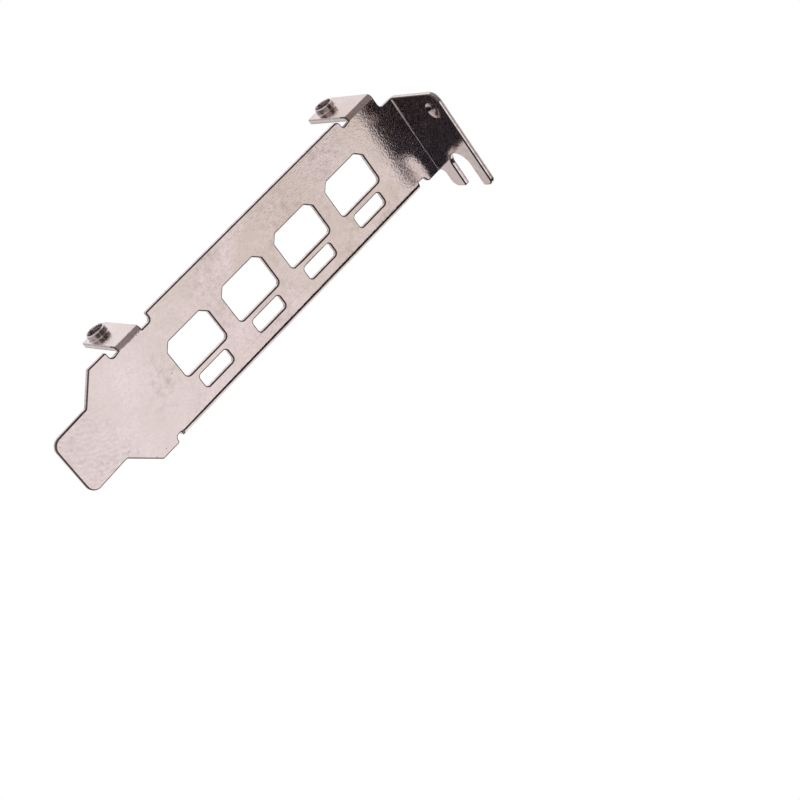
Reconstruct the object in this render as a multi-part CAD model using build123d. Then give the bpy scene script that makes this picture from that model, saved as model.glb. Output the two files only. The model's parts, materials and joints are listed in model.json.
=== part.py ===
import os
from build123d import *

# Low profile expansion bracket, folded from one sheet of nickel-plated steel.
# X runs across the plate, Z up its length, and -Y is the face that shows outside the chassis.
# The origin is at the screw slot, on the underside of the flange, where it sits on the chassis.
# The shape is worked out from the plate's left edge and front face, and moved to the origin last.

# Sheet and folds
SHEET = 0.86
FOLD_INNER_R = 0.40
FLANGE_FOLD_INNER_R = 0.20
TAB_FOLD_INNER_R = 0.05
CORNER_R = 0.65
NICK_R = 0.35

# Plate
PLATE_W = 18.42
OVERALL_L = 79.20
TONGUE_W = 10.05
TONGUE_OFF_MID = -0.09
TONGUE_L = 7.55
TONGUE_TILT = 4.5
TONGUE_CORNER_R = 1.65
TONGUE_FOLD_R = 3.0
TONGUE_FOLD_DROP = 0.60

# Connector windows with a small slot beside each
WINDOW_COUNT = 4
WINDOW_PITCH = 12.19
WINDOW_W = 6.25
WINDOW_H = 9.07
WINDOW_LEFT = 5.80
WINDOW_CHAMFER = 1.15
WINDOW_R = 0.75
TOP_WINDOW_DROP = 14.47
SLOT_W = 2.37
SLOT_H = 6.19
SLOT_GAP = 1.09
SLOT_R = 0.60

# Screw flange with its open-ended slot
FLANGE_REACH = 11.43
FLANGE_LEFT = 3.60
FLANGE_CORNER_R = 1.80
PRONG_PAST_PLATE = 3.23
SCREW_SLOT_W = 4.70
SCREW_SLOT_REACH = 6.65
SCREW_SLOT_L = 6.50
FAR_PRONG_R = 1.10
NEAR_PRONG_GAP = 1.10
NEAR_PRONG_R = 1.40
NEAR_PRONG_ROOT_R = 0.80
DIMPLE_X = 6.65
DIMPLE_REACH = 8.62
DIMPLE_D = 3.10
DIMPLE_DEEP = 0.75

# Notch between the flange and the upper tab, and the right corner under the flange
FLANGE_NOTCH_Z = -2.55
FLANGE_NOTCH_R = 0.90
FLANGE_SIDE_TRIM = 0.17

# Rear tabs with their tapped collars
TAB_INSET = 0.53
TAB_REACH = 11.60
TAB_TIP_R = 0.55
UPPER_TAB = (-8.50, FLANGE_NOTCH_Z)
LOWER_TAB_RISE = 9.36
LOWER_TAB_H = 5.03
TAB_RELIEF = 1.60
UPPER_RELIEF_H = 1.50
UPPER_RELIEF_R = 0.50
UPPER_CORNER_R = 0.80
LOWER_TAB_NOTCH_H = 1.95
COLLAR_REACH = 8.80
COLLAR_DROP = 0.40
COLLAR_H = 1.05
COLLAR_D = 3.20
COLLAR_BASE_R = 0.30
COLLAR_RIM_R = 0.16
BORE_MOUTH_R = 0.45
TAP_D = 2.50

# Stiffening lip along the right edge
LIP_TOP = -4.45
LIP_RISE = 9.34
LIP_REACH = 3.00
LIP_RELIEF_H = 1.45
LIP_RELIEF_W = 1.05

# An arc that would use up a whole side is kept this share shorter, so that the side isn't lost
NEARLY_ALL = 0.999

PRONG_END = PLATE_W + PRONG_PAST_PLATE
SCREW_SLOT_END = PRONG_END - SCREW_SLOT_L
SLOT_MID_X = SCREW_SLOT_END + SCREW_SLOT_W / 2
FOLD_R = FOLD_INNER_R + SHEET
TAB_FOLD_R = TAB_FOLD_INNER_R + SHEET

TONGUE_LEFT = (PLATE_W - TONGUE_W) / 2 + TONGUE_OFF_MID
TONGUE_RIGHT = TONGUE_LEFT + TONGUE_W
TONGUE_END = SHEET - OVERALL_L
TONGUE_TOP = TONGUE_END + TONGUE_L
TONGUE_FOLD_Z = TONGUE_TOP - TONGUE_FOLD_DROP
LOWER_TAB_LOW = TONGUE_TOP + LOWER_TAB_RISE
LOWER_TAB = (LOWER_TAB_LOW, LOWER_TAB_LOW + LOWER_TAB_H)
LIP_BOTTOM = TONGUE_TOP + LIP_RISE
TRIMMED_RIGHT = PLATE_W - FLANGE_SIDE_TRIM
TAB_ROOT = TAB_INSET + TAB_FOLD_R
LIP_ROOT = PLATE_W - FOLD_R
SLOT_FAR = -SCREW_SLOT_REACH - SCREW_SLOT_W / 2
SLOT_NEAR = -SCREW_SLOT_REACH + SCREW_SLOT_W / 2


def rounded_outline(corners):
    """A flat face from corners given as (x, y, radius), each rounded where its radius isn't zero."""
    points = [(x, y) for x, y, _ in corners]
    radii = [radius for _, _, radius in corners]
    return make_face(FilletPolyline(*points, radius=radii, close=True))


def fold_section(inner_r, leg, angle=90.0):
    """Section of a fold: the sheet comes in along X, with its outer face on the X axis, and turns to +Y."""
    outer = JernArc((0, 0), (1, 0), inner_r + SHEET, angle)
    inner = JernArc((0, SHEET), (1, 0), inner_r, angle)
    outer_leg = PolarLine(outer @ 1, leg, angle)
    inner_leg = PolarLine(inner @ 1, leg, angle)
    ends = [Line((0, SHEET), (0, 0)), Line(outer_leg @ 1, inner_leg @ 1)]
    return make_face([outer, inner, outer_leg, inner_leg, *ends])


def upright(face, depth=SHEET):
    """Stands a face drawn as (x, z) against the plate's back and gives it depth towards the front."""
    plate_back = Plane(origin=(0, SHEET, 0), x_dir=(1, 0, 0), z_dir=(0, -1, 0))
    return extrude(plate_back * face, depth)


def plate_blank():
    """The flat of the plate, from the flange's fold to the root of the tongue, with its notches."""
    upper_low, upper_high = UPPER_TAB
    lower_low, lower_high = LOWER_TAB
    corners = [
        (FLANGE_LEFT, -FLANGE_FOLD_INNER_R, 0),
        (FLANGE_LEFT, FLANGE_NOTCH_Z, FLANGE_NOTCH_R),
        (TAB_ROOT, FLANGE_NOTCH_Z, 0),
        (TAB_ROOT, upper_low - UPPER_RELIEF_H, UPPER_RELIEF_R),
        (0, upper_low - UPPER_RELIEF_H, UPPER_CORNER_R),
        (0, lower_high + LOWER_TAB_NOTCH_H, NICK_R),
        (TAB_ROOT, lower_high + LOWER_TAB_NOTCH_H, CORNER_R),
        (TAB_ROOT, lower_low - TAB_RELIEF, CORNER_R),
        (0, lower_low - TAB_RELIEF, NICK_R),
        (0, TONGUE_TOP + TONGUE_LEFT, NICK_R),
        (TONGUE_LEFT, TONGUE_TOP, NICK_R),
        (TONGUE_LEFT, TONGUE_FOLD_Z, 0),
        (TONGUE_RIGHT, TONGUE_FOLD_Z, 0),
        (TONGUE_RIGHT, TONGUE_TOP, NICK_R),
        (PLATE_W, TONGUE_TOP + PLATE_W - TONGUE_RIGHT, NICK_R),
        (PLATE_W, LIP_BOTTOM - LIP_RELIEF_H, NICK_R),
        (PLATE_W - LIP_RELIEF_W, LIP_BOTTOM - LIP_RELIEF_H, CORNER_R),
        (PLATE_W - LIP_RELIEF_W, LIP_BOTTOM, 0),
        (LIP_ROOT, LIP_BOTTOM, 0),
        (LIP_ROOT, LIP_TOP + LIP_RELIEF_H, CORNER_R),
        (TRIMMED_RIGHT, LIP_TOP + LIP_RELIEF_H, CORNER_R),
        (TRIMMED_RIGHT, -FLANGE_FOLD_INNER_R, 0),
    ]
    return upright(rounded_outline(corners))


def window_cutter(mid_z):
    """One connector window, with its left corners cut off, and the slot beside it."""
    left, right = WINDOW_LEFT, WINDOW_LEFT + WINDOW_W
    low, high = mid_z - WINDOW_H / 2, mid_z + WINDOW_H / 2
    window = rounded_outline([
        (left + WINDOW_CHAMFER, low, NICK_R),
        (right, low, WINDOW_R),
        (right, high, WINDOW_R),
        (left + WINDOW_CHAMFER, high, NICK_R),
        (left, high - WINDOW_CHAMFER, NICK_R),
        (left, low + WINDOW_CHAMFER, NICK_R),
    ])
    slot = Pos(right + SLOT_GAP + SLOT_W / 2, mid_z) * RectangleRounded(SLOT_W, SLOT_H, SLOT_R)
    return upright(window) + upright(slot)


def flange():
    """The screw flange: folded to the front over the fold's arc, then trimmed to its outline."""
    at_fold = Plane(origin=(FLANGE_LEFT, SHEET, -FLANGE_FOLD_INNER_R), x_dir=(0, 0, 1), z_dir=(1, 0, 0))
    reach = FLANGE_REACH - FLANGE_FOLD_INNER_R
    strip = extrude(at_fold * fold_section(FLANGE_FOLD_INNER_R, reach), PRONG_END - FLANGE_LEFT)
    slot_r = SCREW_SLOT_W / 2
    outline = rounded_outline([
        (FLANGE_LEFT, SHEET, 0),
        (FLANGE_LEFT, -FLANGE_REACH, FLANGE_CORNER_R),
        (PRONG_END, -FLANGE_REACH, FAR_PRONG_R),
        (PRONG_END, SLOT_FAR, NICK_R),
        (SCREW_SLOT_END, SLOT_FAR, slot_r * NEARLY_ALL),
        (SCREW_SLOT_END, SLOT_NEAR, slot_r * NEARLY_ALL),
        (PRONG_END, SLOT_NEAR, NICK_R),
        (PRONG_END, -NEAR_PRONG_GAP, NEAR_PRONG_R),
        (TRIMMED_RIGHT, -NEAR_PRONG_GAP, NEAR_PRONG_ROOT_R),
        (TRIMMED_RIGHT, SHEET, 0),
    ])
    trim = extrude(Pos(0, 0, -FOLD_R) * outline, FOLD_R + 2 * SHEET)
    return strip & trim


def dimple(radius_gain):
    """The cap of a ball that stands above the flange's underside, with its radius grown by a gain."""
    half = DIMPLE_D / 2
    ball_r = (half ** 2 + DIMPLE_DEEP ** 2) / (2 * DIMPLE_DEEP)
    centre = Pos(DIMPLE_X, -DIMPLE_REACH, DIMPLE_DEEP - ball_r)
    return split(centre * Sphere(ball_r + radius_gain), bisect_by=Plane.XY, keep=Keep.TOP)


def tab(span):
    """A rear tab: folded to the back from the left edge, with a tapped collar standing on its left."""
    low, high = span
    at_fold = Plane(origin=(TAB_ROOT, 0, high), x_dir=(-1, 0, 0), z_dir=(0, 0, -1))
    strip = extrude(at_fold * fold_section(TAB_FOLD_INNER_R, TAB_REACH - TAB_FOLD_R), high - low)
    side = Plane(origin=(TAB_INSET - SHEET, 0, 0), x_dir=(0, 1, 0), z_dir=(1, 0, 0))
    outline = rounded_outline([
        (0, low, 0),
        (TAB_REACH, low, TAB_TIP_R),
        (TAB_REACH, high, TAB_TIP_R),
        (0, high, 0),
    ])
    trimmed = strip & extrude(side * outline, 4 * SHEET)
    collar_z = (low + high) / 2 - COLLAR_DROP
    axis = Plane(origin=(TAB_INSET, COLLAR_REACH, collar_z), x_dir=(0, 0, 1), z_dir=(-1, 0, 0))
    return trimmed + axis * collar() - axis * tapped_bore()


def collar():
    """The collar drawn out of the tab, turned about Z: flared at its root and rounded at its rim."""
    r = COLLAR_D / 2
    profile = rounded_outline([
        (0, -SHEET / 2, 0),
        (r + COLLAR_BASE_R, -SHEET / 2, 0),
        (r + COLLAR_BASE_R, 0, 0),
        (r, 0, COLLAR_BASE_R * NEARLY_ALL),
        (r, COLLAR_H, COLLAR_RIM_R),
        (0, COLLAR_H, 0),
    ])
    return revolve(Plane.XZ * profile, Axis.Z)


def tapped_bore():
    """The bore through the tab and collar, with the rounded mouth that drawing the collar leaves."""
    r = TAP_D / 2
    profile = rounded_outline([
        (0, -SHEET - BORE_MOUTH_R, 0),
        (r + BORE_MOUTH_R, -SHEET - BORE_MOUTH_R, 0),
        (r + BORE_MOUTH_R, -SHEET, 0),
        (r, -SHEET, BORE_MOUTH_R * NEARLY_ALL),
        (r, COLLAR_H + SHEET, 0),
        (0, COLLAR_H + SHEET, 0),
    ])
    return revolve(Plane.XZ * profile, Axis.Z)


def lip():
    """The lip folded to the back along the right edge."""
    at_fold = Plane(origin=(LIP_ROOT, 0, LIP_BOTTOM), x_dir=(1, 0, 0), z_dir=(0, 0, 1))
    return extrude(at_fold * fold_section(FOLD_INNER_R, LIP_REACH - FOLD_R), LIP_TOP - LIP_BOTTOM)


def tongue():
    """The tongue, leaned a little to the front, with a rounded end."""
    at_fold = Plane(origin=(TONGUE_RIGHT, SHEET, TONGUE_FOLD_Z), x_dir=(0, 0, -1), z_dir=(-1, 0, 0))
    strip = extrude(at_fold * fold_section(TONGUE_FOLD_R, TONGUE_L, TONGUE_TILT), TONGUE_W)
    outline = rounded_outline([
        (TONGUE_LEFT, TONGUE_FOLD_Z, 0),
        (TONGUE_LEFT, TONGUE_END, TONGUE_CORNER_R),
        (TONGUE_RIGHT, TONGUE_END, TONGUE_CORNER_R),
        (TONGUE_RIGHT, TONGUE_FOLD_Z, 0),
    ])
    return strip & upright(outline, TONGUE_L)


def bracket():
    """The whole bracket, one solid, moved so that the screw slot's middle is the origin."""
    body = plate_blank()
    for i in range(WINDOW_COUNT):
        body -= window_cutter(-TOP_WINDOW_DROP - i * WINDOW_PITCH)
    body += flange() + dimple(SHEET) - dimple(0)
    body = body + tab(UPPER_TAB) + tab(LOWER_TAB) + lip() + tongue()
    return Pos(-SLOT_MID_X, SCREW_SLOT_REACH, 0) * body


part = bracket()
part.label = "bracket"
os.makedirs("parts", exist_ok=True)
export_step(part, "parts/bracket.step")
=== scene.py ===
# %% [markdown]
# # A folded steel bracket
# The object is one sheet of steel, 0.86 mm thick, stamped, folded and then plated with satin nickel.
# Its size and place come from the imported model, so the first step loads that and keeps its box.
# Everything is in metres, with +Z up the plate and -Y out of its front face.

# %% Load the frame
import json
from math import pi, radians

import bpy
from mathutils import Matrix, Quaternion, Vector
from mathutils.bvhtree import BVHTree

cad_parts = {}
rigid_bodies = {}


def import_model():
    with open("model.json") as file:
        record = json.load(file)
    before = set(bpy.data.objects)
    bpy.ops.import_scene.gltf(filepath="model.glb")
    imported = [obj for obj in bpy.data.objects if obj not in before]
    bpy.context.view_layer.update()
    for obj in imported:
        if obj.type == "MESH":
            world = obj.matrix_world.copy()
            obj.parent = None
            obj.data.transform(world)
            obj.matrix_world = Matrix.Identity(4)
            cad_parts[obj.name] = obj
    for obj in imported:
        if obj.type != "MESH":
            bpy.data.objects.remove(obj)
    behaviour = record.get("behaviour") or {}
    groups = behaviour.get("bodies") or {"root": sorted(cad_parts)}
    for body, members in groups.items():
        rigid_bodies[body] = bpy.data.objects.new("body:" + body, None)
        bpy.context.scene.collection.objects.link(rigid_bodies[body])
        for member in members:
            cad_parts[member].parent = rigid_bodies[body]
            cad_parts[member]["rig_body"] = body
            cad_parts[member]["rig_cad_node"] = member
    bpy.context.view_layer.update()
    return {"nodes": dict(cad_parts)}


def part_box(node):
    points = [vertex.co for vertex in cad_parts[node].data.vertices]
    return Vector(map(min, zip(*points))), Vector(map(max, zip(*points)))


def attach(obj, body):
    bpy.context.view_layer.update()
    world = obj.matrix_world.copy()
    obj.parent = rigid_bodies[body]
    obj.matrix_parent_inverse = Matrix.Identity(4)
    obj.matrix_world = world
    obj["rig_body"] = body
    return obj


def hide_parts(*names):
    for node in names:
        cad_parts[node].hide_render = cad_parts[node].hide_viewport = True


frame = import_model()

MM = 0.001
sheet_node = frame["nodes"]["bracket"]
low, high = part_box("bracket")
middle = (low + high) / 2
print("CAD box in mm:", [round(v / MM, 2) for v in (*low, *high)])

# %% [markdown]
# The camera stands where the photographer's stood, below the flange and to the left of the plate.
# Its place, the point it looks at and its roll were worked out from the plate's known length and width,
# so they are written as real distances. A long lens keeps the perspective as mild as it is there.

# %% Camera
SENSOR_WIDTH = 36.0
CAMERA_LENS = 86.81
CAMERA_PLACE = Vector((-111.31, -248.66, -143.97)) * MM
CAMERA_AIM = Vector((52.79, 61.88, -5.35)) * MM
CAMERA_ROLL = radians(42.235)
NEAREST_SEEN = 10 * MM


def looking_at(place, aim, roll=0.0):
    """The matrix of something at place whose -Z axis points at aim, rolled about that axis."""
    turn = (aim - place).to_track_quat("-Z", "Y") @ Quaternion((0, 0, 1), roll)
    return Matrix.Translation(place) @ turn.to_matrix().to_4x4()


camera_data = bpy.data.cameras.new("camera")
camera_data.sensor_width = SENSOR_WIDTH
camera_data.lens = CAMERA_LENS
camera_data.clip_start = NEAREST_SEEN
camera = bpy.data.objects.new("camera", camera_data)
camera.matrix_world = looking_at(CAMERA_PLACE, CAMERA_AIM, CAMERA_ROLL)
bpy.context.scene.collection.objects.link(camera)
bpy.context.scene.camera = camera
print("camera is", round((CAMERA_PLACE - middle).length / MM), "mm from the bracket")

# %% [markdown]
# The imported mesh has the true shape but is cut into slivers, which a bevel can't follow. The sheet could
# be modelled again from nothing, but its folds and notches are right as they are, so a copy of it is
# merged and its flats are made whole again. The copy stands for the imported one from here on. Two small
# helpers come first: one makes a piece the only selected one, the other opens all of it in edit mode.

# %% The folded sheet
SHEET = 0.86 * MM
SLIVER = 0.012 * MM
FLAT_ANGLE = radians(0.5)


def only(piece):
    """Makes piece the one selected, active object."""
    bpy.ops.object.select_all(action="DESELECT")
    piece.select_set(True)
    bpy.context.view_layer.objects.active = piece


def edit_all(piece):
    """Opens piece in edit mode with everything in it selected."""
    only(piece)
    bpy.ops.object.mode_set(mode="EDIT")
    bpy.ops.mesh.select_all(action="SELECT")


sheet = sheet_node.copy()
sheet.data = sheet_node.data.copy()
sheet.name = sheet.data.name = "folded_sheet"
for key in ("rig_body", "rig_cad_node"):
    if key in sheet:
        del sheet[key]
sheet.parent = None
bpy.context.scene.collection.objects.link(sheet)
only(sheet)
bpy.ops.mesh.customdata_custom_splitnormals_clear()
edit_all(sheet)
bpy.ops.mesh.remove_doubles(threshold=SLIVER)
bpy.ops.mesh.select_all(action="SELECT")
bpy.ops.mesh.dissolve_limited(angle_limit=FLAT_ANGLE)
bpy.ops.object.mode_set(mode="OBJECT")
print("the merged sheet has", len(sheet.data.polygons), "faces")

# %% [markdown]
# Each rear tab has a hole that was pierced small and then drawn out into a collar, so that a fine screw
# finds enough metal to bite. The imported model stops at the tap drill. The tap cuts outwards from there,
# so the bores are opened to the thread's root here, and the thread itself comes back in a later step.

# %% Bores opened to the thread's root
COLLAR_Y = 15.45 * MM
COLLAR_Z = {"upper": -5.925 * MM, "lower": -59.315 * MM}
COLLAR_RIM_X = -18.02 * MM
BORE_STRAIGHT_END_X = -16.56 * MM
CREST_R = 1.25 * MM
ROOT_R = 1.38 * MM
NEAR = 0.03 * MM


def select_nothing():
    """Deselects every vertex, edge and face of the sheet."""
    for part in (sheet.data.vertices, sheet.data.edges, sheet.data.polygons):
        for item in part:
            item.select = False


def bore_vertices(z):
    """The vertices of the straight part of the bore whose axis runs along X at height z."""
    found = []
    for vertex in sheet.data.vertices:
        from_axis = Vector((vertex.co.y - COLLAR_Y, vertex.co.z - z)).length
        along_bore = COLLAR_RIM_X - NEAR < vertex.co.x < BORE_STRAIGHT_END_X + NEAR
        if along_bore and from_axis < CREST_R + NEAR:
            found.append(vertex)
    return found


for name, z in COLLAR_Z.items():
    select_nothing()
    chosen = bore_vertices(z)
    for vertex in chosen:
        vertex.select = True
    print(name, "bore opened at", len(chosen), "vertices")
    only(sheet)
    bpy.ops.object.mode_set(mode="EDIT")
    bpy.ops.mesh.select_mode(type="VERT")
    share = ROOT_R / CREST_R
    axis_point = (COLLAR_RIM_X, COLLAR_Y, z)
    bpy.ops.transform.resize(value=(1, share, share), center_override=axis_point)
    bpy.ops.object.mode_set(mode="OBJECT")

# %% [markdown]
# A stamped sheet has three kinds of surface: the skin on the punch side, the skin on the die side, and
# the cut walls between them. Each skin runs on smoothly through every fold, so it is found by starting
# from one face and following its neighbours over gentle turns. What is left over was cut. The two
# material slots are made before the faces are sorted into them, because emptying them afterwards would
# put every face back in the first. Three copies of the surface are kept to measure against later.

# %% Skins and cut walls
SKIN, CUT = 0, 1
SKIN_TURN = radians(58)
NEARLY_STRAIGHT = 0.99


def skin_from(facing):
    """The faces that run on smoothly from the largest face whose normal points along Y times facing."""
    facing_so = [f for f in sheet.data.polygons if f.normal.y * facing > NEARLY_STRAIGHT]
    seed = max(facing_so, key=lambda f: f.area)
    select_nothing()
    seed.select = True
    sheet.data.polygons.active = seed.index
    only(sheet)
    bpy.ops.object.mode_set(mode="EDIT")
    bpy.ops.mesh.select_mode(type="FACE")
    bpy.ops.mesh.faces_select_linked_flat(sharpness=SKIN_TURN)
    bpy.ops.object.mode_set(mode="OBJECT")
    return {f.index for f in sheet.data.polygons if f.select}


sheet.data.materials.clear()
for name in ("satin_nickel", "cut_nickel"):
    sheet.data.materials.append(bpy.data.materials.new(name))
front_skin = skin_from(-1)
back_skin = skin_from(1)
for face in sheet.data.polygons:
    face.material_index = SKIN if face.index in front_skin | back_skin else CUT
points = [v.co.copy() for v in sheet.data.vertices]
corners = [list(f.vertices) for f in sheet.data.polygons]
cut_faces = [f.index for f in sheet.data.polygons if f.material_index == CUT]
whole_surface = BVHTree.FromPolygons(points, corners)
front_surface = BVHTree.FromPolygons(points, [corners[i] for i in front_skin])
cut_surface = BVHTree.FromPolygons(points, [corners[i] for i in cut_faces])
print(len(front_skin), "front faces,", len(back_skin), "back faces,", len(cut_faces), "cut faces")

# %% [markdown]
# A punch never leaves a knife-sharp corner. Where it enters, it draws the skin down into a roll, wider than
# the one on the far side, and these rolls, with the painted shade that the cut walls' finish gives them,
# draw the fine dark lines round every window. So the edges of the front skin get the widest bevel, those of
# the back skin a narrower one, and the pressed rim of the dimple a small one. The rolled faces go into the
# cut walls' material slot.

# %% Rolled edges
ROLL = 0.20 * MM
ROLL_STEPS = 3
BACK_SHARE, RIM_SHARE = 0.7, 0.6
SHARP_TURN = radians(40)


def apply_modifiers(piece):
    """Applies every modifier on piece, in order."""
    only(piece)
    for modifier in list(piece.modifiers):
        bpy.ops.object.modifier_apply(modifier=modifier.name)


beside = {}
for face in sheet.data.polygons:
    for key in face.edge_keys:
        beside.setdefault(key, []).append(face)
weights = sheet.data.attributes.new("bevel_weight_edge", "FLOAT", "EDGE")
for edge in sheet.data.edges:
    faces = beside.get(tuple(sorted(edge.vertices)), [])
    if len(faces) != 2 or faces[0].normal.angle(faces[1].normal, 0) < SHARP_TURN:
        continue
    in_front = [f.index in front_skin for f in faces]
    in_flange = all(sheet.data.vertices[v].co.z > -NEAR for v in edge.vertices)
    if in_flange and all(in_front):
        weights.data[edge.index].value = RIM_SHARE
    elif {f.material_index for f in faces} == {SKIN, CUT}:
        weights.data[edge.index].value = 1.0 if any(in_front) else BACK_SHARE
rolled = sheet.modifiers.new("rolled_edges", "BEVEL")
rolled.width = ROLL
rolled.segments = ROLL_STEPS
rolled.limit_method = "WEIGHT"
rolled.use_clamp_overlap = False
rolled.material = CUT
apply_modifiers(sheet)
print("with rolled edges the sheet has", len(sheet.data.polygons), "faces")

# %% [markdown]
# Where several rolled edges meet in a small notch, the bevel can overshoot. A clamped bevel wouldn't, but
# it would narrow every roll to suit the smallest notch. So a vertex that left the sheet's surface is put
# back on it. In the notches of the lower end a rolled corner can also run far along the skin, and there
# a rolled vertex far from every cut wall is put back on the wall. Vertices that then touch are merged.

# %% Stray corners put back
MOST_CUT_BACK = 0.35 * ROLL
FARTHEST_ROLL = 3 * ROLL
LOWER_END_Z = -50 * MM
TOUCHING = 0.001 * MM

strays = 0
for vertex in sheet.data.vertices:
    nearest, _, _, distance = whole_surface.find_nearest(vertex.co)
    if distance > MOST_CUT_BACK:
        vertex.co = nearest
        strays += 1
rolled_points = {v for f in sheet.data.polygons if f.material_index == CUT for v in f.vertices}
for index in rolled_points:
    vertex = sheet.data.vertices[index]
    nearest, _, _, distance = cut_surface.find_nearest(vertex.co)
    if vertex.co.z < LOWER_END_Z and distance > FARTHEST_ROLL:
        vertex.co = nearest
        strays += 1
edit_all(sheet)
bpy.ops.mesh.remove_doubles(threshold=TOUCHING)
bpy.ops.object.mode_set(mode="OBJECT")
print(strays, "stray vertices put back")

# %% [markdown]
# In a mirror finish a flat must stay flat right up to its rolled edge, or the reflections bend there. More
# faces would help a little. Normals that follow the larger faces do it at no cost, and the rolls stay
# round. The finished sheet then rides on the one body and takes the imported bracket's place and finish.

# %% Smooth rolls and flat flats
SMOOTH_ANGLE = radians(32)
LARGER_FACES_LEAD = 100

bpy.ops.object.shade_smooth_by_angle(angle=SMOOTH_ANGLE)
flats = sheet.modifiers.new("flat_faces_stay_flat", "WEIGHTED_NORMAL")
flats.keep_sharp = True
flats.weight = LARGER_FACES_LEAD
apply_modifiers(sheet)
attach(sheet, "root")
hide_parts("bracket")
print("the finished sheet has", len(sheet.data.polygons), "faces")

# %% [markdown]
# The finish of a cut wall changes through the thickness of the sheet, so the mesh carries two facts with
# it: how deep each point is below the front skin, and which point of the skin it lies under. The second
# is the same all through the thickness, so streaks drawn from it run straight across the wall, as a
# punch leaves them.

# %% Depth below the front skin
depth = sheet.data.attributes.new("depth", "FLOAT", "POINT")
above = sheet.data.attributes.new("above", "FLOAT_VECTOR", "POINT")
for vertex in sheet.data.vertices:
    nearest, _, _, distance = front_surface.find_nearest(vertex.co)
    depth.data[vertex.index].value = min(distance / SHEET, 1.0)
    above.data[vertex.index].vector = nearest
print("deepest point:", round(max(d.value for d in depth.data), 2), "of the sheet")

# %% [markdown]
# The tap leaves a fine thread of 0.5 mm pitch in each collar. A triangular groove wound along the axis
# would have to be cut out. Winding the ridge that stays between two turns of the groove comes to the same
# and is simpler. It is a triangle with its crest towards the axis, swept by a screw modifier, with its two
# ends closed. One ridge is made and the other is a copy with a mesh of its own.

# %% Threads
PITCH = 0.5 * MM
FOOT_SUNK = 0.01 * MM
TRIANGLE_SIDES = 3
HEIGHT_TO_RADIUS = 1.5
TRIANGLE_R = (ROOT_R - CREST_R + FOOT_SUNK) / HEIGHT_TO_RADIUS
EQUILATERAL_WIDTH = 3 ** 0.5 * TRIANGLE_R
RIDGE_SHARE = 0.84
RIDGE_WIDTH = RIDGE_SHARE * PITCH
TURNS = 2.75
STEPS_A_TURN = 48


def put_origin(piece, place):
    """Moves piece's origin to place, and leaves its mesh where it is."""
    only(piece)
    bpy.context.scene.cursor.location = place
    bpy.ops.object.origin_set(type="ORIGIN_CURSOR")


def thread(name, z):
    """A wound ridge inside the collar at height z, from just behind its rim inwards."""
    start = COLLAR_RIM_X + RIDGE_WIDTH / 2
    place = (start, COLLAR_Y - CREST_R - TRIANGLE_R, z)
    bpy.ops.object.select_all(action="DESELECT")
    bpy.ops.mesh.primitive_circle_add(
        vertices=TRIANGLE_SIDES, radius=TRIANGLE_R, fill_type="NGON", location=place)
    ridge = bpy.context.active_object
    ridge.name = ridge.data.name = name
    edit_all(ridge)
    stretch = (RIDGE_WIDTH / EQUILATERAL_WIDTH, 1, 1)
    bpy.ops.transform.resize(value=stretch, center_override=place)
    bpy.ops.mesh.delete(type="ONLY_FACE")
    bpy.ops.object.mode_set(mode="OBJECT")
    put_origin(ridge, (start, COLLAR_Y, z))
    wound = ridge.modifiers.new("wound", "SCREW")
    wound.axis = "X"
    wound.angle = 2 * pi * TURNS
    wound.screw_offset = PITCH * TURNS
    wound.steps = wound.render_steps = int(STEPS_A_TURN * TURNS)
    apply_modifiers(ridge)
    edit_all(ridge)
    bpy.ops.mesh.fill_holes(sides=TRIANGLE_SIDES)
    bpy.ops.mesh.select_all(action="SELECT")
    bpy.ops.mesh.normals_make_consistent(inside=False)
    bpy.ops.object.mode_set(mode="OBJECT")
    put_origin(ridge, (0, 0, 0))
    bpy.ops.object.shade_smooth_by_angle(angle=SMOOTH_ANGLE)
    return ridge


upper_thread = thread("upper_tab_thread", COLLAR_Z["upper"])
only(upper_thread)
bpy.ops.object.duplicate(linked=False)
lower_thread = bpy.context.active_object
lower_thread.name = lower_thread.data.name = "lower_tab_thread"
bpy.ops.transform.translate(value=(0, 0, COLLAR_Z["lower"] - COLLAR_Z["upper"]))
bpy.ops.object.transform_apply(location=True, rotation=False, scale=False)
for ridge in (upper_thread, lower_thread):
    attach(ridge, "root")
print("each thread has", len(upper_thread.data.polygons), "faces")

# %% [markdown]
# A finish is a tree of small nodes: noise, arithmetic and colours laid over each other. Wiring them by
# hand takes many lines, so a few helpers each add one kind of node. All patterns are drawn from the
# piece's own coordinates, so they stay where they are on the metal from every side. A picture of real
# metal would do it too, but it would repeat, and it would need unwrapping at every fold.

# %% Helpers for finishes
WHITE = (1.0, 1.0, 1.0, 1.0)
COARSE = 1.0
COLOUR_RESULT = 2


def add(tree, kind, inputs=None, **settings):
    """A node of that kind, with settings on the node and values or sockets on its inputs."""
    made = tree.nodes.new("ShaderNode" + kind)
    for setting, value in settings.items():
        setattr(made, setting, value)
    for socket, value in (inputs or {}).items():
        if isinstance(value, bpy.types.NodeSocket):
            tree.links.new(value, made.inputs[socket])
        else:
            made.inputs[socket].default_value = value
    return made


def noise(tree, vector, scale, detail=2.0, rough=0.5, distortion=0.0):
    """The factor of a noise texture with about scale features a metre."""
    inputs = {"Vector": vector, "Scale": scale, "Detail": detail}
    inputs.update({"Roughness": rough, "Distortion": distortion})
    return add(tree, "TexNoise", inputs).outputs["Fac"]


def spread(tree, value, start, end, low_out=0.0, high_out=1.0):
    """Maps value from start..end to low_out..high_out, and holds it there beyond both ends."""
    inputs = {"Value": value, "From Min": start, "From Max": end}
    inputs.update({"To Min": low_out, "To Max": high_out})
    return add(tree, "MapRange", inputs).outputs["Result"]


def cover(tree, vector, scale, start, end, most=1.0, **texture):
    """Patches of noise: 0 where the noise is below start, and most where it is above end."""
    return spread(tree, noise(tree, vector, scale, **texture), start, end, 0.0, most)


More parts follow.
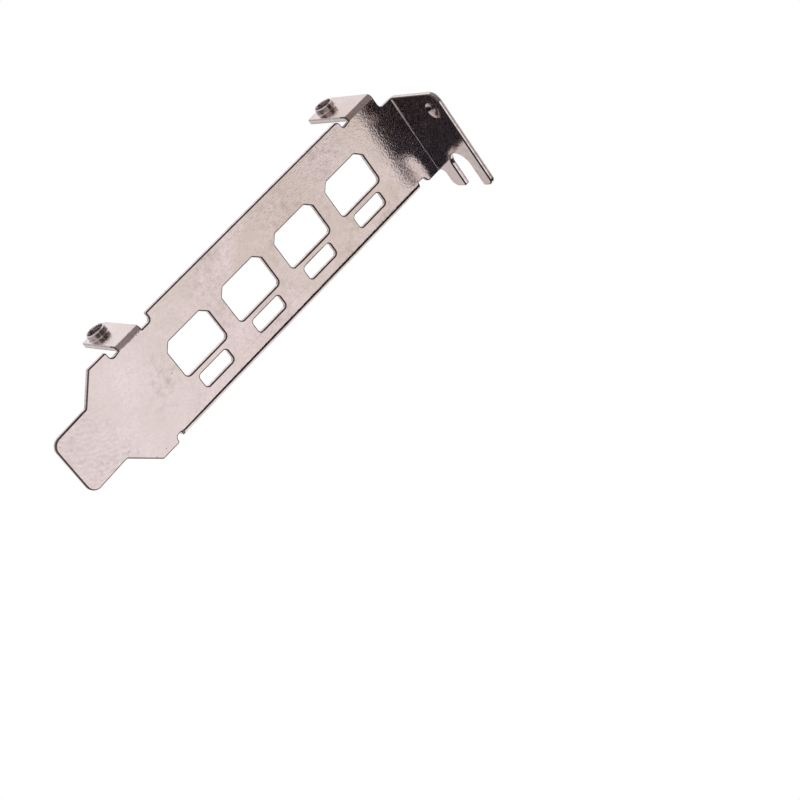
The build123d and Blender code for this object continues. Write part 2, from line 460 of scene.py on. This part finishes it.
def sums(tree, operation, first, *others):
    """One arithmetic operation on numbers or sockets, from left to right."""
    result = first
    for other in others:
        result = add(tree, "Math", {0: result, 1: other}, operation=operation).outputs["Value"]
    return result


def sine(tree, value):
    """The sine of a socket."""
    return add(tree, "Math", {0: value}, operation="SINE").outputs["Value"]


def length(tree, vector):
    """The length of a vector socket."""
    return add(tree, "VectorMath", {0: vector}, operation="LENGTH").outputs["Value"]


def along(tree, vector, axis):
    """The X, Y or Z of a vector socket."""
    return add(tree, "SeparateXYZ", {"Vector": vector}).outputs[axis]


def tint(tree, share, first, second):
    """A colour that goes from first to second as share goes from 0 to 1."""
    inputs = {"Factor": share, "A": first, "B": second}
    return add(tree, "Mix", inputs, data_type="RGBA").outputs[COLOUR_RESULT]


def material(name, metallic):
    """A material, made if it isn't there yet, with its tree and its shader."""
    made = bpy.data.materials.get(name) or bpy.data.materials.new(name)
    made.use_nodes = True
    shader = made.node_tree.nodes["Principled BSDF"]
    shader.inputs["Metallic"].default_value = metallic
    return made, made.node_tree, shader


helpers = (add, noise, spread, cover, sums, sine, length, along, tint, material)
print("helpers for finishes:", [helper.__name__ for helper in helpers])

# %% [markdown]
# Parts are plated together in a turning barrel, and they scratch each other. Long straight hairlines run
# in a few directions, and fine arcs lie in patches. Each could be drawn as a curve, but noise that is
# stretched far along one direction gives as many straight ones as are wanted, and rings about scattered
# centres, thinned to their crests, give the arcs.

# %% Hairline scratches
SCRATCH_STRETCH = 40.0
SCRATCH_LEAN = 0.3
SCRATCH_EDGE = 0.03
# The turn about Y in radians, lines a metre, and the noise below which there is no line.
STRAIGHT_SCRATCHES = ((0.65, 7000.0, 0.74), (-0.9, 6000.0, 0.75), (2.2, 6500.0, 0.76))
SWIRL_CENTRES, SWIRL_RINGS = 95.0, 9500.0
SWIRL_THIN = 0.94
SWIRL_PLACES = {"scale": 119.0, "start": 0.45, "end": 0.60}


def straight_scratches(tree, vector, turn, dense, left_out):
    """Thin straight lines at that turn about Y: 1 on a line and 0 off it."""
    lean = (SCRATCH_LEAN * turn, turn, 0)
    turned = add(tree, "Mapping", {"Vector": vector, "Rotation": lean}).outputs["Vector"]
    drawn_out = add(tree, "Mapping", {"Vector": turned, "Scale": (dense, dense, dense / SCRATCH_STRETCH)})
    streaks = noise(tree, drawn_out.outputs["Vector"], 1.0, detail=COARSE)
    return spread(tree, streaks, left_out, left_out + SCRATCH_EDGE)


def swirl_scratches(tree, vector):
    """Arcs about scattered centres, as a barrel full of parts leaves them."""
    centres = add(tree, "TexVoronoi", {"Vector": vector, "Scale": SWIRL_CENTRES}).outputs["Position"]
    local = add(tree, "VectorMath", {0: vector, 1: centres}, operation="SUBTRACT").outputs["Vector"]
    rings = sine(tree, sums(tree, "MULTIPLY", length(tree, local), SWIRL_RINGS))
    return spread(tree, rings, SWIRL_THIN, 1.0)


def barrel_marks(tree, here, cloud):
    """All scratches together. The arcs show only in some patches, and fade with cloud."""
    lines = [straight_scratches(tree, here, *each) for each in STRAIGHT_SCRATCHES]
    places = cover(tree, here, **SWIRL_PLACES)
    swirls = sums(tree, "MULTIPLY", swirl_scratches(tree, here), places, cloud)
    return sums(tree, "MAXIMUM", *lines, swirls)


print("scratches run in", len(STRAIGHT_SCRATCHES), "directions, and a swirl is about",
      round(1 / SWIRL_CENTRES / MM), "mm across")

# %% [markdown]
# A collar is drawn out of the tab. Its barrel is painted nearly black in patches and its bore dark: painted
# shade, for the shade inside the bore and the dark surroundings that the barrel reflects. Its rim was cut
# and stays bright. Both could be materials of their own, but the change from bright to dark is soft, so it
# is a share worked out from how far a point lies from the collar's axis and along it.

# %% Painted shade on the drawn collars
COLLAR_R = 1.6 * MM
TAB_FACE_X = -16.97 * MM
BORE_END_X = -15.9 * MM
# Painted shade for the collars' barrels and bores.
COLLAR_PAINTED_SHADE = (0.07, 0.055, 0.055, 1.0)
BARREL_SHADE_MOST, BORE_SHADE_MOST = 0.92, 0.85
BARREL_FADE = (COLLAR_R + 0.05 * MM, COLLAR_R + 0.25 * MM)
BORE_FADE = (ROOT_R + 0.01 * MM, ROOT_R + 0.05 * MM)
RIM_FADE = (COLLAR_RIM_X + 0.10 * MM, COLLAR_RIM_X + 0.18 * MM)
TAB_FADE = (TAB_FACE_X - 0.15 * MM, TAB_FACE_X)
COLLAR_SHADE_PATCHES, COLLAR_SHADE_STRETCH = 800.0, 0.25
PATCH_EDGE, PATCH_LEAST = (0.42, 0.54), 0.45


def near_collar_axes(tree, here, fade, most):
    """most near the axis of either collar, and 0 beyond the larger radius of fade."""
    shares = []
    for z in COLLAR_Z.values():
        flat = add(tree, "Mapping", {"Vector": here, "Location": (0, -COLLAR_Y, -z), "Scale": (0, 1, 1)})
        shares.append(spread(tree, length(tree, flat.outputs["Vector"]), *fade, most, 0.0))
    return sums(tree, "MAXIMUM", *shares)


def collar_shade_share(tree, here):
    """How far a point is painted with shade: near 1 on the collars' barrels and bores, 0 elsewhere."""
    x = along(tree, here, "X")
    stretched = add(tree, "Mapping", {"Vector": here, "Scale": (COLLAR_SHADE_STRETCH, 1, 1)}).outputs["Vector"]
    patches = noise(tree, stretched, COLLAR_SHADE_PATCHES, detail=COARSE)
    patches = spread(tree, patches, *PATCH_EDGE, PATCH_LEAST, 1.0)
    off_tab = spread(tree, x, *TAB_FADE, 1.0, 0.0)
    off_rim = spread(tree, x, *RIM_FADE)
    barrels = near_collar_axes(tree, here, BARREL_FADE, BARREL_SHADE_MOST)
    barrels = sums(tree, "MULTIPLY", barrels, off_tab, off_rim, patches)
    bores = near_collar_axes(tree, here, BORE_FADE, BORE_SHADE_MOST)
    bores = sums(tree, "MULTIPLY", bores, spread(tree, x, BORE_END_X, BORE_END_X + NEAR, 1.0, 0.0))
    return sums(tree, "MAXIMUM", barrels, bores)


print("a collar stands", round((TAB_FACE_X - COLLAR_RIM_X) / MM, 2), "mm off its tab")

# %% [markdown]
# The dimple in the flange was pressed with a small punch, and its hollow shows a dark cross where it
# reflects dark surroundings. The cross is painted into the colour as shade: the sine of four times the
# angle about the dimple's middle has four lobes. It is kept to the underside, the only side of the dimple
# that the photograph shows.

# %% The dimple's cross of painted shade
DIMPLE_PLACE = (-10.85 * MM, -1.97 * MM, 0.0)
DIMPLE_R = 1.55 * MM
DIMPLE_ROOF_Z = 0.78 * MM
# Painted shade for the dark cross in the dimple's hollow.
DIMPLE_PAINTED_SHADE = (0.05, 0.04, 0.045, 1.0)
DIMPLE_SHADE_FADE = (0.72 * DIMPLE_R, 0.95 * DIMPLE_R)
CROSS_ARMS, CROSS_TURN = 4.0, 0.8
CROSS_EDGE = (-0.5, 0.6)
CROSS_LEAST, CROSS_MOST = 0.35, 0.95


def dimple_shade_share(tree, here):
    """How far a point is painted with the shade of the dark cross on the underside of the dimple."""
    away = tuple(-c for c in DIMPLE_PLACE)
    local = add(tree, "Mapping", {"Vector": here, "Location": away, "Scale": (1, 1, 0)}).outputs["Vector"]
    inside = spread(tree, length(tree, local), *DIMPLE_SHADE_FADE, 1.0, 0.0)
    underside = spread(tree, along(tree, here, "Z"), DIMPLE_ROOF_Z, SHEET, 1.0, 0.0)
    angle = sums(tree, "ARCTAN2", along(tree, local, "Y"), along(tree, local, "X"))
    arms = sine(tree, sums(tree, "ADD", sums(tree, "MULTIPLY", angle, CROSS_ARMS), CROSS_TURN))
    strength = spread(tree, arms, *CROSS_EDGE, CROSS_LEAST, CROSS_MOST)
    return sums(tree, "MULTIPLY", inside, underside, strength)


print("the dimple is", round(2 * DIMPLE_R / MM, 2), "mm across")

# %% [markdown]
# Barrel-plated nickel is a warm, faintly pink grey, and it is never even. Blotches a few millimetres wide
# lie under warm stains, a fine mottle and grey smudges. Towards the lower end the colour is made paler.
# Specks are dots in a few cells of a pattern. On the tongue faint wavy rings show, like the ripples of a
# thumb mark. One noise could stand for all of this, but each mark has a size of its own, so each gets a
# layer.

# %% Colour of the nickel
PALE_NICKEL = (0.825, 0.697, 0.702, 1.0)
DEEP_NICKEL = (0.71, 0.582, 0.580, 1.0)
LOW_NICKEL = (0.84, 0.735, 0.745, 1.0)
WARM_STAIN = (0.62, 0.515, 0.455, 1.0)
SCRATCH_NICKEL = (0.84, 0.75, 0.74, 1.0)
SMUDGE = (0.42, 0.345, 0.31, 1.0)
SPECK = (0.22, 0.18, 0.17, 1.0)
BLOTCHES = {"scale": 150.0, "start": 0.32, "end": 0.68, "detail": 4.0, "rough": 0.6}
STAINS = {"scale": 70.0, "start": 0.48, "end": 0.70, "most": 0.75, "detail": 3.0, "distortion": 0.6}
MOTTLE = {"scale": 2200.0, "start": 0.38, "end": 0.70, "most": 0.8, "rough": 0.7}
SMUDGES = {"scale": 900.0, "start": 0.46, "end": 0.66, "most": 0.6, "detail": 4.0, "rough": 0.7}
SMUDGED_PLACES = {"scale": 110.0, "start": 0.46, "end": 0.64}
SCRATCH_MOST = 0.5
LOW_FADE, LOW_MOST = (-42 * MM, -62 * MM), 0.42
SPECK_CELLS, SPECK_EDGE, SPECK_MOST = 520.0, (0.045, 0.075), 0.75
SPECKLED_CELLS = (0.86, 0.88)
TONGUE_TOP_Z = -70.8 * MM
RIPPLE_CENTRE = (-20 * MM, 6 * MM, -66 * MM)
RIPPLE_RINGS = 7600.0
RIPPLE_WANDER, RIPPLE_BEND = 420.0, 17.0
RIPPLE_FADE, RIPPLE_MOST = (TONGUE_TOP_Z + 2.5 * MM, TONGUE_TOP_Z), 0.15


def speck_share(tree, here):
    """A small dot in the middle of a few cells."""
    cells = add(tree, "TexVoronoi", {"Vector": here, "Scale": SPECK_CELLS})
    chosen = add(tree, "SeparateColor", {"Color": cells.outputs["Color"]}).outputs["Red"]
    dots = spread(tree, cells.outputs["Distance"], *SPECK_EDGE, SPECK_MOST, 0.0)
    return sums(tree, "MULTIPLY", dots, spread(tree, chosen, *SPECKLED_CELLS))


def ripple(tree, here):
    """Fine wavy rings, 0 to 1."""
    wander = sums(tree, "MULTIPLY", noise(tree, here, RIPPLE_WANDER, detail=COARSE), RIPPLE_BEND)
    local = add(tree, "VectorMath", {0: here, 1: RIPPLE_CENTRE}, operation="SUBTRACT").outputs["Vector"]
    rings = sums(tree, "MULTIPLY", length(tree, local), RIPPLE_RINGS)
    return spread(tree, sine(tree, sums(tree, "ADD", rings, wander)), -1.0, 1.0)


def nickel_colour(tree, here, marks):
    """The plating's colour, one layer over another."""
    z = along(tree, here, "Z")
    smudges = sums(tree, "MULTIPLY", cover(tree, here, **SMUDGES), cover(tree, here, **SMUDGED_PLACES))
    rings = sums(tree, "MULTIPLY", ripple(tree, here), spread(tree, z, *RIPPLE_FADE, 0.0, RIPPLE_MOST))
    colour = tint(tree, cover(tree, here, **BLOTCHES), DEEP_NICKEL, PALE_NICKEL)
    colour = tint(tree, cover(tree, here, **STAINS), colour, WARM_STAIN)
    colour = tint(tree, sums(tree, "MULTIPLY", marks, SCRATCH_MOST), colour, SCRATCH_NICKEL)
    colour = tint(tree, cover(tree, here, **MOTTLE), colour, WARM_STAIN)
    colour = tint(tree, spread(tree, z, *LOW_FADE, 0.0, LOW_MOST), colour, LOW_NICKEL)
    colour = tint(tree, smudges, colour, SMUDGE)
    colour = tint(tree, speck_share(tree, here), colour, SPECK)
    # Painted shade on the collars' barrels and in their bores.
    colour = tint(tree, collar_shade_share(tree, here), colour, COLLAR_PAINTED_SHADE)
    # Painted shade for the dark cross in the dimple's hollow.
    colour = tint(tree, dimple_shade_share(tree, here), colour, DIMPLE_PAINTED_SHADE)
    return tint(tree, rings, colour, SMUDGE)


print("rings on the tongue are", round(2 * pi / RIPPLE_RINGS / MM, 2), "mm apart")

# %% [markdown]
# The plating itself is a mirror with a fine grain, because the sheet under it is a little rough. The grain
# breaks up every reflection. It is far too fine to model, so it is a bump of a few hundredths of a
# millimetre. The flange and the lip are calmer than the plate, and the tongue has a coarser skin, like
# the peel of an orange. Clouds and scratches are a little rougher than what lies between them.

# %% Satin nickel
BASE_ROUGHNESS, CLOUD_ROUGHER, SCRATCH_ROUGHER = 0.11, 0.05, 0.07
CLOUDS = {"scale": 420.0, "start": 0.35, "end": 0.70, "detail": 3.0}
GRAIN, GRAIN_ROUGH, GRAIN_DEEP = 2900.0, 0.6, 0.026 * MM
FLANGE_FADE, FLANGE_GRAIN = (-0.10 * MM, -0.02 * MM), 0.3
LIP_FADE, LIP_GRAIN = (-0.5 * MM, 0.1 * MM), 0.4
PEEL, PEEL_DEEP = 1150.0, 0.045 * MM
PEEL_FADE, PEEL_LEAST = (TONGUE_TOP_Z + 1.5 * MM, TONGUE_TOP_Z - 0.5 * MM), 0.12
SCRATCH_DEEP = 0.0012 * MM


def nickel_surface(tree, here, cloud, marks):
    """The plating's roughness, and its normal bumped by peel, grain and scratches."""
    cloud_rougher = sums(tree, "MULTIPLY", cloud, CLOUD_ROUGHER)
    scratch_rougher = sums(tree, "MULTIPLY", marks, SCRATCH_ROUGHER)
    roughness = sums(tree, "ADD", BASE_ROUGHNESS, cloud_rougher, scratch_rougher)
    z = along(tree, here, "Z")
    peel_deep = spread(tree, z, *PEEL_FADE, PEEL_LEAST * PEEL_DEEP, PEEL_DEEP)
    peel = sums(tree, "MULTIPLY", noise(tree, here, PEEL, detail=COARSE), peel_deep)
    grain_deep = spread(tree, z, *FLANGE_FADE, GRAIN_DEEP, FLANGE_GRAIN * GRAIN_DEEP)
    calm_lip = spread(tree, along(tree, here, "X"), *LIP_FADE, 1.0, LIP_GRAIN)
    grain = sums(tree, "MULTIPLY", noise(tree, here, GRAIN, rough=GRAIN_ROUGH), grain_deep, calm_lip)
    height = sums(tree, "ADD", peel, grain, sums(tree, "MULTIPLY", marks, -SCRATCH_DEEP))
    bump = add(tree, "Bump", {"Height": height, "Strength": 1.0, "Distance": 1.0})
    return roughness, bump.outputs["Normal"]


def nickel(tree):
    """The nodes shared by both finishes: the object's coordinates, colour, roughness and normal."""
    here = add(tree, "TexCoord").outputs["Object"]
    cloud = cover(tree, here, **CLOUDS)
    marks = barrel_marks(tree, here, cloud)
    return here, nickel_colour(tree, here, marks), *nickel_surface(tree, here, cloud, marks)


satin, tree, shader = material("satin_nickel", metallic=1.0)
_, colour, roughness, normal = nickel(tree)
for socket, value in (("Base Color", colour), ("Roughness", roughness), ("Normal", normal)):
    tree.links.new(value, shader.inputs[socket])
for ridge in (upper_thread, lower_thread):
    ridge.data.materials.append(satin)
print("satin nickel has", len(tree.nodes), "nodes")

# %% [markdown]
# A cut wall shows how it was cut. Under the roll the punch burnished it; further down the steel tore and
# stayed matt. Fine streaks run across both. The rolled corners are painted dark: painted shade, for the
# dark surroundings that they reflect, which is why each opening looks drawn round with a fine pen. The
# painted shade reaches deeper on the tongue and is faint on the tabs. The flange's front wall has no
# painted dark corner at its far side, but a second fine painted dark line along its middle. Each band could
# be a strip of faces of its own, but the bands depend on depth alone, so they are drawn from the two facts
# that the mesh carries.

# %% Cut walls, with painted shade on their rolled corners
# Painted shade for the rolled corners; the same colour also darkens the streaks.
PAINTED_ROLL_SHADE_AND_STREAK = (0.06, 0.035, 0.035, 1.0)
BURNISHED = (0.86, 0.78, 0.77, 1.0)
TORN = (0.66, 0.58, 0.57, 1.0)
STREAKS, STREAK_MIDDLE = 2600.0, 0.5
STREAK_EDGE = (0.3, 0.7)
DARK_STREAK_EDGE, DARK_STREAK_MOST = (0.45, 0.75), 0.25
TORN_EDGE, TORN_RAGGED, TORN_ROUGHER = (0.52, 0.60), 0.16, 0.16
ROLL_DEEP, TONGUE_ROLL_DEEP, ROLL_FADE = 0.20, 0.45, 0.08
TONGUE_FADE = (TONGUE_TOP_Z + 0.5 * MM, TONGUE_TOP_Z - 0.5 * MM)
TABS_FADE, TAB_ROLL = (8.3 * MM, 8.8 * MM), 0.35
FRONT_WALL_FADE = (low.y + 0.30 * MM, low.y + 0.34 * MM)
BACK_ROLL_EDGE = (0.84, 0.90)
LINE_STARTS, LINE_ENDS = (0.50, 0.54), (0.64, 0.68)
ROLL_SHADE_MOST = 0.92
SCORED_STRENGTH, SCORED_DEEP = 0.5, 0.006 * MM


def rolled_shade_share(tree, here, deep):
    """How far a point of a cut wall is painted with shade as a dark rolled corner."""
    y = along(tree, here, "Y")
    roll_end = spread(tree, along(tree, here, "Z"), *TONGUE_FADE, ROLL_DEEP, TONGUE_ROLL_DEEP)
    past_roll = sums(tree, "SUBTRACT", deep, roll_end)
    front_roll = spread(tree, past_roll, 0.0, ROLL_FADE, 1.0, 0.0)
    front_roll = sums(tree, "MULTIPLY", front_roll, spread(tree, y, *TABS_FADE, 1.0, TAB_ROLL))
    off_front_wall = spread(tree, y, *FRONT_WALL_FADE)
    back_roll = sums(tree, "MULTIPLY", spread(tree, deep, *BACK_ROLL_EDGE), off_front_wall)
    on_front_wall = sums(tree, "SUBTRACT", 1.0, off_front_wall)
    line = spread(tree, deep, *LINE_STARTS)
    line = sums(tree, "MULTIPLY", line, spread(tree, deep, *LINE_ENDS, 1.0, 0.0), on_front_wall)
    corner = sums(tree, "MAXIMUM", front_roll, back_roll, line)
    return sums(tree, "MULTIPLY", corner, ROLL_SHADE_MOST)


_, tree, shader = material("cut_nickel", metallic=1.0)
here, colour, roughness, normal = nickel(tree)
deep = add(tree, "Attribute", attribute_name="depth").outputs["Fac"]
under = add(tree, "Attribute", attribute_name="above").outputs["Vector"]
streak = noise(tree, under, STREAKS)
ragged = sums(tree, "MULTIPLY", sums(tree, "SUBTRACT", streak, STREAK_MIDDLE), TORN_RAGGED)
torn = spread(tree, sums(tree, "ADD", deep, ragged), *TORN_EDGE)
wall = tint(tree, spread(tree, streak, *STREAK_EDGE), BURNISHED, colour)
wall = tint(tree, torn, wall, TORN)
wall = tint(tree, spread(tree, streak, *DARK_STREAK_EDGE, 0.0, DARK_STREAK_MOST), wall, PAINTED_ROLL_SHADE_AND_STREAK)
# Painted shade on the rolled corners and the fine line of the flange's front wall.
wall = tint(tree, rolled_shade_share(tree, here, deep), wall, PAINTED_ROLL_SHADE_AND_STREAK)
roughness = sums(tree, "ADD", roughness, sums(tree, "MULTIPLY", torn, TORN_ROUGHER))
scored = {"Height": streak, "Normal": normal, "Strength": SCORED_STRENGTH, "Distance": SCORED_DEEP}
normal = add(tree, "Bump", scored).outputs["Normal"]
for socket, value in (("Base Color", wall), ("Roughness", roughness), ("Normal", normal)):
    tree.links.new(value, shader.inputs[socket])
print("the cut walls' finish has", len(tree.nodes), "nodes")

# %% [markdown]
# Bright metal has no look of its own: it shows the room. The photographer's room was white on nearly all
# sides. White walls could be built, but the world does it with nothing to place. It is full white to the
# camera and in reflections, so that the nickel renders at about the colour it was given. The light that
# it casts is dimmer, so that the soft box still makes a shadow on the floor.

# %% The white room
AMBIENT = 0.6

bpy.context.scene.view_settings.view_transform = "Standard"
world = bpy.data.worlds.new("studio")
bpy.context.scene.world = world
world.use_nodes = True
tree = world.node_tree
path = add(tree, "LightPath").outputs
shown = (path["Is Camera Ray"], path["Is Glossy Ray"], path["Is Transmission Ray"])
background = tree.nodes["Background"]
background.inputs["Color"].default_value = WHITE
strength = spread(tree, sums(tree, "MAXIMUM", *shown), 0.0, 1.0, AMBIENT, 1.0)
tree.links.new(strength, background.inputs["Strength"])
print("the world is 1.0 where it is seen, and its light is", AMBIENT)

# %% [markdown]
# One large soft box hangs overhead, a little in front and to the right. It lights the cards and the floor,
# and casts the bracket's soft shadow. A small lamp would give the shadow a hard edge. Reflections don't
# show it: a lamp adds its light to the white seen behind it, so the metal would go brighter than white.

# %% The soft box
LAMP_TOWARDS = Vector((0.25, -0.50, 0.83)).normalized()
LAMP_AWAY = 1.1
LAMP_SIDE = 1.3
LAMP_RADIANCE = 1.1

lamp_data = bpy.data.lights.new("soft_box", "AREA")
lamp_data.shape = "SQUARE"
lamp_data.size = LAMP_SIDE
lamp_data.energy = LAMP_RADIANCE * pi * LAMP_SIDE ** 2
lamp = bpy.data.objects.new("soft_box", lamp_data)
lamp.matrix_world = looking_at(middle + LAMP_TOWARDS * LAMP_AWAY, middle)
lamp.visible_glossy = False
bpy.context.scene.collection.objects.link(lamp)
print("the soft box gives", round(lamp_data.energy, 1), "W")

# %% [markdown]
# The darks on the metal are reflections too. They could be painted in, but then they would stay put when
# the view turns. So seven cards hang round the bracket, and only reflections show them. card_below is
# black, and makes the flange's underside black and the plate next to it dark. card_front_left and
# card_left are grey, for the folds of the tabs. card_low_left darkens the lower sides of the collars.
# card_under darkens the rolls at the tops of the windows, card_above greys those at their bottoms, and
# card_right gives the lip its dark line. Nearly all that the plate itself reflects stays white.

# %% Dark cards
CARD_BLACK, CARD_GREY = (0.010, 0.014, 0.028, 1.0), (0.40, 0.36, 0.37, 1.0)
CARD_WEAVE = 900.0
CARD_ROUGHNESS = 1.0
THREAD_DARKER = 0.9
PLATE_MIDDLE = (0, 0, -40)


def card_cloth(name, colour):
    """A matt cloth of that colour with a slight weave."""
    cloth, tree, shader = material(name, metallic=0.0)
    shader.inputs["Roughness"].default_value = CARD_ROUGHNESS
    weave = noise(tree, add(tree, "TexCoord").outputs["Object"], CARD_WEAVE)
    darker = [THREAD_DARKER * channel for channel in colour[:3]] + [1.0]
    tree.links.new(tint(tree, weave, colour, darker), shader.inputs["Base Color"])
    return cloth


def card(name, cloth, place, width, height, facing=PLATE_MIDDLE):
    """A card at place, turned towards facing, all in mm, and seen only in reflections."""
    place, facing = Vector(place) * MM, Vector(facing) * MM
    bpy.ops.object.select_all(action="DESELECT")
    bpy.ops.mesh.primitive_plane_add(size=1.0, location=(0, 0, 0))
    piece = bpy.context.active_object
    piece.name = name
    piece.matrix_world = looking_at(place, facing) @ Matrix.Diagonal((width * MM, height * MM, 1, 1))
    piece.data.materials.append(cloth)
    piece.visible_camera = False
    piece.visible_shadow = False
    piece.visible_diffuse = False
    print(name, "is", width, "by", height, "mm")


black = card_cloth("black_cloth", CARD_BLACK)
grey = card_cloth("grey_cloth", CARD_GREY)
card("card_below", black, place=(244, -313, -135.5), width=300, height=607, facing=(195, -250, 861))
card("card_front_left", grey, place=(-89, -282, 105), width=330, height=270)
card("card_left", grey, place=(-290, -56, 105), width=480, height=270)
card("card_low_left", black, place=(-145, -251, -205), width=105, height=200)
card("card_under", black, place=(55, -30, -155), width=110, height=90, facing=(0, 0, 0))
card("card_right", black, place=(237, -148, 105), width=220, height=270)
card("card_above", grey, place=(95, -90, 190), width=200, height=110)

# %% [markdown]
# The floor is a plain pale sheet, lower than the camera, so that the photograph's view stays clear of it.
# It takes the bracket's soft shadow in the other views. A curved backdrop would do as well, but the
# white world already closes the view behind it.

# %% Floor
FLOOR_Z = -165 * MM
FLOOR_SIDE = 6.0
FLOOR_PALE, FLOOR_SPECKLED = (0.93, 0.93, 0.93, 1.0), (0.90, 0.90, 0.90, 1.0)
FLOOR_GRAIN = 300.0
FLOOR_ROUGHNESS = 0.9

bpy.ops.object.select_all(action="DESELECT")
bpy.ops.mesh.primitive_plane_add(size=FLOOR_SIDE, location=(0, 0, FLOOR_Z))
floor = bpy.context.active_object
floor.name = "floor"
pale, tree, shader = material("pale_floor", metallic=0.0)
shader.inputs["Roughness"].default_value = FLOOR_ROUGHNESS
speckle = noise(tree, add(tree, "TexCoord").outputs["Object"], FLOOR_GRAIN)
tree.links.new(tint(tree, speckle, FLOOR_PALE, FLOOR_SPECKLED), shader.inputs["Base Color"])
floor.data.materials.append(pale)
print("the floor is", round((low.z - FLOOR_Z) / MM), "mm below the tongue")
